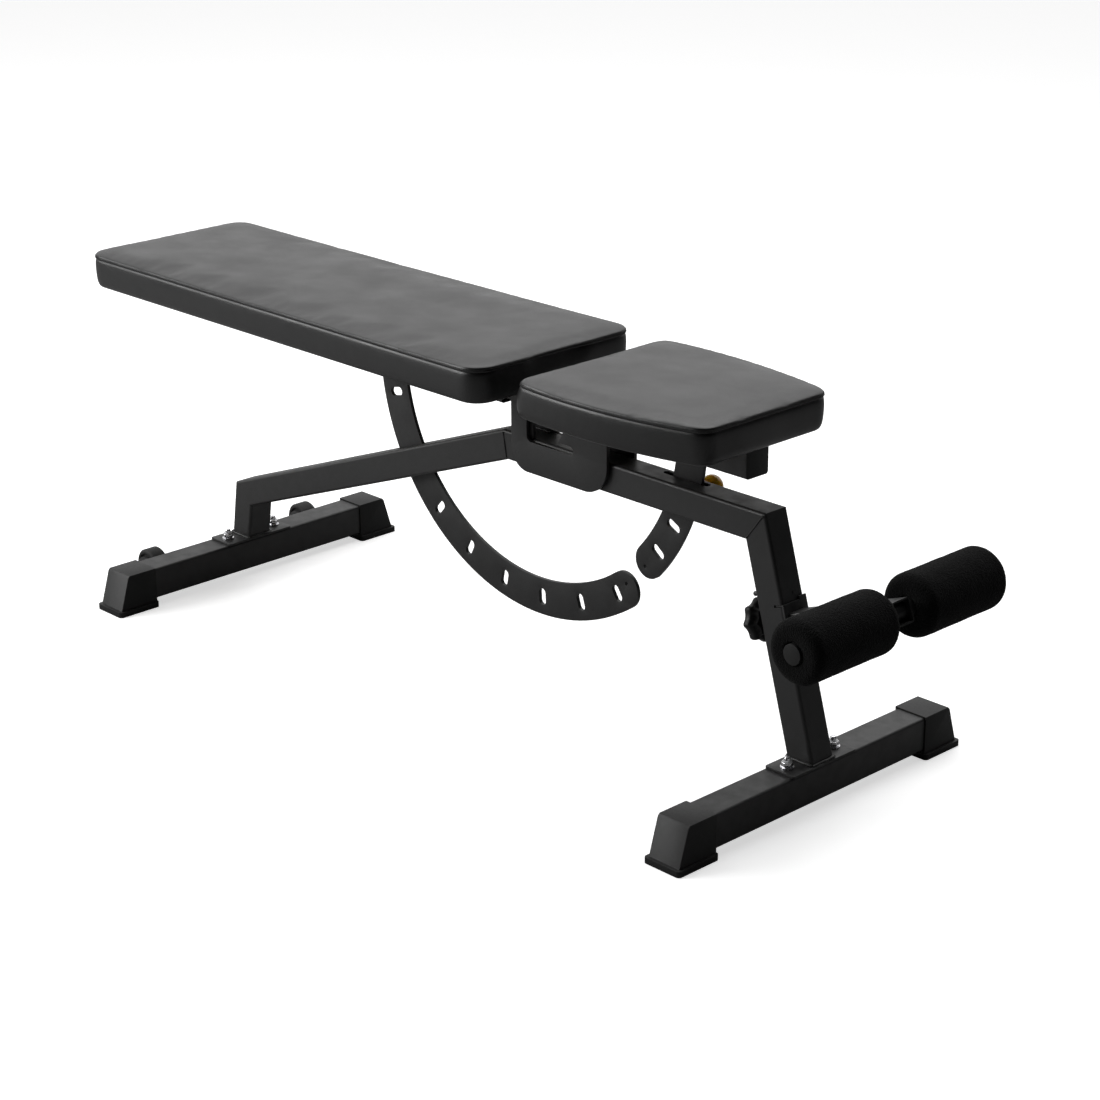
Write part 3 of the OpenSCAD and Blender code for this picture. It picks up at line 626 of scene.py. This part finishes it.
def inflate(piece, base, limit, frames=14):
    """Lets the vinyl settle over its foam by cloth simulation, with the sewn edges held in place."""
    mesh = piece.data
    rest = [v.co.copy() for v in mesh.vertices]
    hold = piece.vertex_groups.new(name="sewn")
    for v in mesh.vertices:
        sewn = v.co.z < base + 0.016 or abs(v.normal.z) < 0.5
        hold.add([v.index], 1.0 if sewn else 0.0, "REPLACE")
    cloth = piece.modifiers.new("settle", "CLOTH")
    settings = cloth.settings
    settings.quality = 6
    settings.mass = 0.25
    settings.tension_stiffness = 25
    settings.compression_stiffness = 25
    settings.shear_stiffness = 10
    settings.bending_stiffness = 12
    settings.use_pressure = True
    settings.uniform_pressure_force = 2.5
    settings.vertex_group_mass = "sewn"
    settings.shrink_min = -0.003
    settings.effector_weights.gravity = 0
    cloth.point_cache.frame_start = 1
    cloth.point_cache.frame_end = frames
    scene = bpy.context.scene
    for number in range(1, frames + 1):
        scene.frame_set(number)
    settled = piece.evaluated_get(bpy.context.evaluated_depsgraph_get()).to_mesh()
    moved = [v.co.copy() for v in settled.vertices]
    piece.evaluated_get(bpy.context.evaluated_depsgraph_get()).to_mesh_clear()
    piece.modifiers.remove(cloth)
    for v, start, end in zip(mesh.vertices, rest, moved):
        shift = end - start
        if shift.length > limit:
            shift *= limit / shift.length
        v.co = start + shift
    scene.frame_set(1)


PROUD = 0.0002                  # how far the middle of a stitch stands out of the vinyl


def out_of(pad, path, i):
    """The direction along a path around a pad at one of its points, and the one straight out of the pad."""
    ahead = (path[(i + 1) % len(path)] - path[i - 1]).normalized()
    out = Vector((-ahead.y, ahead.x, 0))
    return ahead, out if out.dot(path[i] - pad.inner(path[i])) >= 0 else -out


def stitches(pad, drop, step=0.0034, length=0.0025, thick=0.0005):
    """A row of single stitches around the pad, each a short bowed thread."""
    path = resampled([Vector((e.x, e.y, 0)) for e in pad.edge], step)
    bm = bmesh.new()
    for i, point in enumerate(path):
        ahead, out = out_of(pad, path, i)
        centre = Vector((point.x, point.y, pad.crease_z - drop)) + out * (pad.surface_out(drop) + PROUD)
        rings = []
        for k in range(5):
            share = k / 2 - 1
            fat = thick * (0.35 + 0.65 * (1 - share ** 2))
            spot = centre + ahead * (share * length / 2) - out * (0.00045 * share ** 2)
            rings.append([bm.verts.new(spot + (out * cos(tau * s / 5) + UP * sin(tau * s / 5)) * fat)
                          for s in range(5)])
        for below, above in zip(rings, rings[1:]):
            for s in range(5):
                t = (s + 1) % 5
                bm.faces.new((below[s], below[t], above[t], above[s]))
        bm.faces.new(rings[0])
        bm.faces.new(rings[-1])
    pad.relieve(bm)
    name = f"{pad.name}_stitches_{round(drop / MM)}"
    new_piece(name, mesh_of(bm, "stitches"), pad.body, THREAD)


STAPLE = (0.010, 0.0011, 0.0006)      # length, width and thickness


def staples(pad, inset=0.0222, step=0.034):
    """Wire staples that hold the cover's margin under the board."""
    path = resampled([Vector((e.x, e.y, 0)) for e in pad.edge], step)
    bm = bmesh.new()
    for i, point in enumerate(path):
        ahead, out = out_of(pad, path, i)
        wobble = noise.noise(Vector((i * 1.7, pad.seed, 0))) * 0.5
        ahead = (ahead + out * wobble).normalized()
        spot = Vector((point.x, point.y, CUSHION_BASE - 0.0011)) - out * inset
        if pad.is_open_below(spot):
            continue
        made = bmesh.ops.create_cube(bm, size=1.0)["verts"]
        place = Matrix.Translation(spot) @ Matrix.Rotation(atan2(ahead.y, ahead.x), 4, "Z")
        shape = Matrix.Diagonal((*STAPLE, 1))
        bmesh.ops.transform(bm, matrix=place @ shape, verts=made)
    bmesh.ops.bevel(bm, geom=bm.edges[:], offset=0.00015, segments=1, affect="EDGES")
    new_piece(pad.name + "_staples", mesh_of(bm, "staples"), pad.body, ZINC)


def upholster(pad, limit):
    piece = new_piece(pad.name, pad.build(), pad.body, VINYL, smooth=radians(70))
    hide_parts(pad.node)
    inflate(piece, CUSHION_BASE, limit)
    smooth = piece.modifiers.new("smooth", "SUBSURF")
    smooth.levels = smooth.render_levels = 1
    stitches(pad, 0.0024)
    stitches(pad, pad.SEAM_DROP - 0.0022)
    staples(pad)


back_pad = BackPad("back_pad", "backrest", "back_cushion", CUSHION_BASE + 0.0462, 0.0046, 0.0010, 36, 3.0)
seat_pad = SeatPad("seat_pad", "seat", "seat_cushion", CUSHION_BASE + 0.0450, 0.0046, 0.0022, 36, 8.0)
for pad in (back_pad, seat_pad):
    upholster(pad, 0.0022)


# ---------------------------------------------------------------- foam rollers

def foam_roller(name, node, body):
    """A foam sleeve with soft round ends and a slightly lumpy, porous surface."""
    low, high = corners(node)
    radius = (high.z - low.z) / 2
    bore = 0.01262              # a hair over the roller tube's radius
    soft = 0.0125               # the radius of the round ends
    around = 168
    profile = [(low.y + 0.010, bore)]
    profile += [(low.y + 0.0012, bore + 0.0012), (low.y + 0.0004, bore + 0.004)]
    for k in range(11):
        a = pi / 2 * k / 10
        profile.append((low.y + soft - soft * cos(a), radius - soft + soft * sin(a)))
    end = list(profile)
    cells = 84
    span = (high.y - low.y - 2 * soft) / cells
    profile += [(low.y + soft + span * k, radius) for k in range(1, cells)]
    profile += [(low.y + high.y - y, r) for y, r in reversed(end)]
    rings = []
    for y, r in profile:
        ring = []
        for k in range(around):
            a = tau * k / around
            skin = Vector((ROLLER.x + r * cos(a), y, ROLLER.z + r * sin(a)))
            lumps = noise.noise(skin * 55) * 0.00035 + noise.noise(skin * 420) * 0.00022
            depth = lumps - 0.0003 if r > bore + 0.003 else 0.0
            ring.append(Vector((ROLLER.x + (r + depth) * cos(a), y, ROLLER.z + (r + depth) * sin(a))))
        rings.append(ring)
    mesh = loft(rings, name, close_ends=False)
    piece = new_piece(name, mesh, body, FOAM, smooth=radians(80))
    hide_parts(node)


foam_roller("foam_roller_left", "roller_left", "left_roller")
foam_roller("foam_roller_right", "roller_right", "right_roller")


# ---------------------------------------------------------------- metal and plastic parts

# how wide the sharp edges of each part are rounded
EDGE_WIDTHS = {
    0.0004: ["back_arc", "seat_arc", "base_plates", "pivot_uprights", "wheel_forks", "back_straps",
             "seat_straps", "roller_bracket", "seat_hinge_spacers"],
    0.0005: ["seat_hinge_left", "seat_hinge_right", "back_hinge_sleeve"],
    0.0012: ["back_tube_plug", "seat_tube_plug"],
    0.0020: ["front_cap_left", "front_cap_right", "rear_cap_left", "rear_cap_right"],
    0.0006: ["wheel_left", "wheel_right", "roller_tube_plugs"],
}
for width, nodes in EDGE_WIDTHS.items():
    for node in nodes:
        rounded_copy(node, width)

for node, obj in frame["nodes"].items():
    if not obj.hide_render:
        obj.data.materials.clear()
        obj.data.materials.append(FINISH[SLOT[node]])


def hexagon(across):
    """The outline of a hexagon of a given width across its flats."""
    def radius(a):
        return across / 2 / cos((a % (pi / 3)) - pi / 6)
    return radius


def lock_nut(place, across, height):
    """A chamfered hex nut with a round collar over its insert."""
    bite = 0.075 * across
    body = turned("nut", [(0, bite), (0.10 * height, 0.2 * bite), (0.16 * height, 0), (0.70 * height, 0),
                          (0.78 * height, 0.35 * bite), (0.84 * height, bite)],
                  lambda a: min(hexagon(across)(a), across * 0.56), 48, place)
    collar = turned("collar", [(0.80 * height, 0), (0.95 * height, 0.0002), (height, 0.0009)],
                    lambda a: across * 0.44, 40, place)
    return [body, collar]


def threaded_end(place, size, length, pitch=0.00125):
    """The free end of a bolt: ridges at the thread's pitch, and a chamfer at the tip."""
    levels = []
    count = round(length / pitch * 4)
    for k in range(count + 1):
        z = length * k / count
        tip = max(0.0, z - length + 0.0012)
        levels.append((z, 0.0003 * (1 - cos(tau * z / pitch)) / 2 + tip * 0.8))
    return turned("thread", levels, lambda a: size / 2 + 0.00002, 28, place)


NUT_ACROSS, NUT_HEIGHT, BOLT_SIZE = 0.013, 0.008, 0.008
CORNER_SHARE = 1.1547           # a hexagon's width over its corners, for a width of 1 over its flats


def foot_fasteners():
    low, high = corners("foot_nuts")
    base_z = low.z
    nut_half = NUT_ACROSS / 2
    nuts, inserts, ends = [], [], []
    xs = (low.x + nut_half * CORNER_SHARE, high.x - nut_half * CORNER_SHARE)
    ys = (low.y + nut_half, high.y - nut_half)
    for x in xs:
        for y in ys:
            turn = Matrix.Rotation(0.5 * noise.noise(Vector((x * 31, y * 77, 1))) * pi, 4, "Z")
            place = Matrix.Translation((x, y, base_z)) @ turn
            body, collar = lock_nut(place, NUT_ACROSS, NUT_HEIGHT)
            nuts.append(body)
            inserts.append(collar)
            ends.append(threaded_end(Matrix.Translation((x, y, base_z + 0.006)), BOLT_SIZE, 0.0068))
    shown = new_piece("foot_lock_nuts", joined(nuts, "nuts"), "frame", ZINC)
    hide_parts("foot_nuts")
    new_piece("foot_lock_nut_collars", joined(inserts, "collars"), "frame", NYLON)
    new_piece("foot_bolt_threads", joined(ends, "threads"), "frame", ZINC)


foot_fasteners()


def star_knob():
    """The lobed clamp knob, with rolled edges, a hub and a boss on its face."""
    axis = Vector((-cos(FRONT_LEAN), 0, -sin(FRONT_LEAN)))
    place = along(Vector(joints["star_knob_turn"]["pos_m"]), axis)
    low, high = corners("clamp_knob")
    lobes = 8
    valley, flatten = 0.0036, 0.0006      # how deep it dips between lobes, and how much their flanks give
    tip = (high.y - low.y) / 2

    def lobed(a):
        return tip - valley * (1 - cos(lobes * a)) / 2 - flatten * (1 - cos(2 * lobes * a)) / 2

    grip = turned("grip", [(0.0062, 0.0125), (0.0066, 0.0085), (0.0112, 0.0062), (0.0122, 0.0032),
                           (0.0132, 0.0012), (0.0146, 0.0002), (0.0170, 0.0), (0.0205, 0.0002),
                           (0.0226, 0.0010), (0.0238, 0.0026), (0.0243, 0.0050), (0.0238, 0.0090),
                           (0.0226, 0.0110)], lobed, 192, place)
    hub = turned("hub", [(0.0004, 0.0006), (0.0010, 0.0), (0.0080, 0.0)], lambda a: 0.0100, 48, place)
    boss = turned("boss", [(0.0215, 0.0), (0.0246, 0.0002), (0.0254, 0.0010), (0.0256, 0.0040)],
                  lambda a: 0.0100, 48, place)
    shown = new_piece("star_grip", joined([grip, hub, boss], "star_grip"), "star_knob",
                      PLASTIC, smooth=radians(50))
    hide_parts("clamp_knob")


star_knob()


def pull_knob(name, node, body):
    """A glossy ball-ended pull knob on a short waist, with its moulding line."""
    low, high = corners(node)
    centre = (low + high) / 2
    length = high.y - low.y
    radius = (high.z - low.z) / 2
    neck = 0.62 * radius
    waist, widest = 0.14, 0.42            # shares of the length: the waist's end, the ball's widest
    profile = []
    steps = 30
    for k in range(steps + 1):
        share = k / steps
        y = length * share
        if share < waist:
            r = neck - 0.0006 * (1 - share / waist) ** 2
        else:
            t = (share - waist) / (1 - waist)
            swell = sin(min(t / widest, 1) * pi / 2) ** 0.8
            fall = sqrt(max(0.0, 1 - (max(t - widest, 0) / (1 - widest)) ** 2.3))
            r = (neck + (radius - neck) * swell) * (fall if t > widest else 1)
        profile.append((y, r))
    rings = []
    for y, r in profile:
        seam = 0.00012 if abs(y - length * 0.46) < length / steps * 0.6 else 0.0
        ring = []
        for k in range(56):
            a = tau * k / 56
            ring.append(Vector((centre.x + (r + seam) * cos(a), low.y + y, centre.z + (r + seam) * sin(a))))
        rings.append(ring)
    tip = Vector((centre.x, high.y, centre.z))
    rings[-1] = [tip + (p - tip) * 0.4 for p in rings[-2]]
    for p in rings[-1]:
        p.y = high.y
    piece = new_piece(name, loft(rings, name), body, AMBER, smooth=radians(60))
    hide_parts(node)


pull_knob("back_pull_knob", "back_pin_knob", "back_pop_pin")
pull_knob("seat_pull_knob", "seat_pin_knob", "seat_pop_pin")


# ---------------------------------------------------------------- weld beads

ALONG_X, ALONG_Y = Vector((1, 0, 0)), Vector((0, 1, 0))


def slanted(angle):
    """A direction in the side view, at an angle up from +X."""
    return Vector((cos(angle), 0, sin(angle)))


def ring_weld(name, centre, u, half_u, half_v, body="frame", radius=0.0014, corner=0.004):
    path = resampled(rectangle(centre, u, ALONG_Y, half_u, half_v, corner), 0.0011)
    new_piece(name, bead(path, radius, name), body, WELD, smooth=radians(80))


def line_weld(name, ends, body="frame", radius=0.0017):
    lines = []
    for start, end in ends:
        lines.append(bead(resampled([start, end], 0.0011, closed=False), radius, name, closed=False))
    new_piece(name, joined(lines, name), body, WELD, smooth=radians(80))


def mitre_weld(name, centre, way, reach):
    """Beads along a mitred corner of two square tubes, on its two side faces."""
    short = 0.0035
    side = TUBE / 2 + 0.0001
    half_line = way * (reach - short)
    line_weld(name, [(centre - half_line + ALONG_Y * y, centre + half_line + ALONG_Y * y)
                     for y in (-side, side)], radius=0.0011)


def frame_welds():
    half = TUBE / 2
    beam_low, beam_high = corners("front_beam")
    beam_z = (beam_low.z + beam_high.z) / 2
    plates_top = corners("base_plates")[1].z
    front_foot = Vector((corners("front_post")[1].x - half / cos(FRONT_LEAN), 0, plates_top))
    rear_foot = Vector((corners("rear_post")[0].x + half / cos(REAR_LEAN), 0, plates_top))
    ring_weld("weld_front_base", front_foot + UP * 0.0006, ALONG_X, half / cos(FRONT_LEAN) + 0.0006,
              half + 0.0006, radius=0.0022)
    ring_weld("weld_rear_base", rear_foot + UP * 0.0006, ALONG_X, half / cos(REAR_LEAN) + 0.0006,
              half + 0.0006, radius=0.0022)
    rise = beam_z - plates_top
    front_elbow = front_foot + Vector((-rise * sin(FRONT_LEAN) / cos(FRONT_LEAN), 0, rise))
    turn = (pi / 2 - FRONT_LEAN) / 2
    mitre_weld("weld_front_elbow", front_elbow, slanted(pi / 2 - turn), half / cos(turn))
    mid_elbow = Vector((beam_low.x + half * sin(REAR_SLOPE / 2) / cos(REAR_SLOPE / 2), 0, beam_z))
    mitre_weld("weld_mid_elbow", mid_elbow, slanted(pi / 2 + REAR_SLOPE / 2), half / cos(REAR_SLOPE / 2))


frame_welds()


def plate_welds():
    under = corners("back_tube")[0].z
    drop = PIVOT.z - under
    for name, arc, body, inner, outer, way in (
            ("weld_back_arc", "back_arc", "backrest", 0.255, 0.305, -1),
            ("weld_seat_arc", "seat_arc", "seat", 0.246, 0.292, 1)):
        low, high = corners(arc)
        x0 = PIVOT.x + way * sqrt(inner ** 2 - drop ** 2)
        x1 = PIVOT.x + way * sqrt(outer ** 2 - drop ** 2)
        line_weld(name, [(Vector((x0, y, under - 0.0004)), Vector((x1, y, under - 0.0004)))
                         for y in (low.y - 0.0008, high.y + 0.0008)], body)
    low, high = corners("pivot_uprights")
    sides = [(low.y + 0.0056), (high.y - 0.0056)]
    line_weld("weld_uprights", [(Vector((low.x + 0.002, y, low.z + 0.0006)),
                                 Vector((high.x - 0.002, y, low.z + 0.0006))) for y in sides])


plate_welds()


# ---------------------------------------------------------------- floor, light and camera

def seen_or_felt(tree, seen, felt, kind):
    """One shader for what the camera sees directly, another for the light that reaches the bench."""
    path = tree.nodes.new("ShaderNodeLightPath")
    blend = tree.nodes.new("ShaderNodeMixShader")
    tree.links.new(path.outputs["Is Camera Ray"], blend.inputs[0])
    tree.links.new(felt.outputs[0], blend.inputs[1])
    tree.links.new(seen.outputs[0], blend.inputs[2])
    tree.links.new(blend.outputs[0], tree.nodes[kind].inputs["Surface"])


def stage_material():
    m = Nodes("pale_floor")
    m.set(Base_Color=m.mix(m.noise(3, 2), grey(0.88), grey(0.90)), Roughness=0.9, Specular_IOR_Level=0.1)
    glow = m.add("ShaderNodeEmission", Strength=0.60)
    both = m.tree.nodes.new("ShaderNodeAddShader")
    m.tree.links.new(glow.outputs[0], both.inputs[0])
    m.tree.links.new(m.shader.outputs[0], both.inputs[1])
    dim = m.add("ShaderNodeBsdfDiffuse", Color=grey(0.34))
    seen_or_felt(m.tree, both, dim, "Material Output")
    return m.material


def floor():
    size = 30.0
    mesh = bpy.data.meshes.new("floor")
    mesh.from_pydata([(-size, -size, FLOOR_Z), (size, -size, FLOOR_Z), (size, size, FLOOR_Z),
                      (-size, size, FLOOR_Z)], [], [(0, 1, 2, 3)])
    plane = bpy.data.objects.new("floor", mesh)
    bpy.context.scene.collection.objects.link(plane)
    mesh.materials.append(stage_material())


BACKDROP_WAY = (-0.66, 0.60, 0.45)     # toward the middle of the bright backdrop


def area_light(name, place, target, size, power):
    data = bpy.data.lights.new(name, "AREA")
    data.shape = "RECTANGLE"
    data.size, data.size_y = size
    data.energy = power
    light = bpy.data.objects.new(name, data)
    light.location = place
    light.rotation_euler = (Vector(target) - Vector(place)).to_track_quat("-Z", "Y").to_euler()
    bpy.context.scene.collection.objects.link(light)


def world():
    """White to the camera; for the light, a broad bright backdrop behind the pads and dark elsewhere."""
    sky = bpy.data.worlds.new("studio")
    sky.use_nodes = True
    tree = sky.node_tree
    seen = tree.nodes["Background"]
    seen.inputs["Color"].default_value = (1, 1, 1, 1)
    seen.inputs["Strength"].default_value = 1.0
    way = tree.nodes.new("ShaderNodeTexCoord")
    facing = tree.nodes.new("ShaderNodeVectorMath")
    facing.operation = "DOT_PRODUCT"
    tree.links.new(way.outputs["Generated"], facing.inputs[0])
    facing.inputs[1].default_value = Vector(BACKDROP_WAY).normalized()
    ramp = tree.nodes.new("ShaderNodeMapRange")
    ramp.interpolation_type = "SMOOTHSTEP"
    tree.links.new(facing.outputs["Value"], ramp.inputs["Value"])
    ramp.inputs["From Min"].default_value = 0.25
    ramp.inputs["From Max"].default_value = 0.85
    ramp.inputs["To Min"].default_value = 0.02
    ramp.inputs["To Max"].default_value = 1.15
    felt = tree.nodes.new("ShaderNodeBackground")
    tree.links.new(ramp.outputs["Result"], felt.inputs["Strength"])
    seen_or_felt(tree, seen, felt, "World Output")
    bpy.context.scene.world = sky


VIEW_FROM = (2.3935, -2.1732, 1.3965)
AZIMUTH, ELEVATION, ROLL = radians(46.46), radians(20.716), radians(-0.38)
SENSOR, LENS = 36, 84.74               # millimetres


def camera():
    """An 85 mm lens from the front left, a little above the pads."""
    data = bpy.data.cameras.new("camera")
    data.lens = LENS
    data.sensor_width = SENSOR
    data.clip_end = 60
    view = bpy.data.objects.new("camera", data)
    back = Vector((sin(AZIMUTH) * cos(ELEVATION), -cos(AZIMUTH) * cos(ELEVATION), sin(ELEVATION)))
    level = Vector((cos(AZIMUTH), sin(AZIMUTH), 0))
    lift = back.cross(level)
    right = cos(ROLL) * level + sin(ROLL) * lift
    upward = -sin(ROLL) * level + cos(ROLL) * lift
    turn = Matrix((right, upward, back)).transposed().to_4x4()
    view.matrix_world = Matrix.Translation(VIEW_FROM) @ turn
    bpy.context.scene.collection.objects.link(view)
    bpy.context.scene.camera = view


floor()
world()
area_light("overhead", (-0.7, 0.6, 3.0), (0, 0, 0.3), (3.4, 2.4), 52)
area_light("left", (-2.3, -2.5, 1.7), (-0.7, -0.7, 0.1), (2.4, 1.8), 95)
camera()
bpy.context.scene.view_settings.view_transform = "Standard"
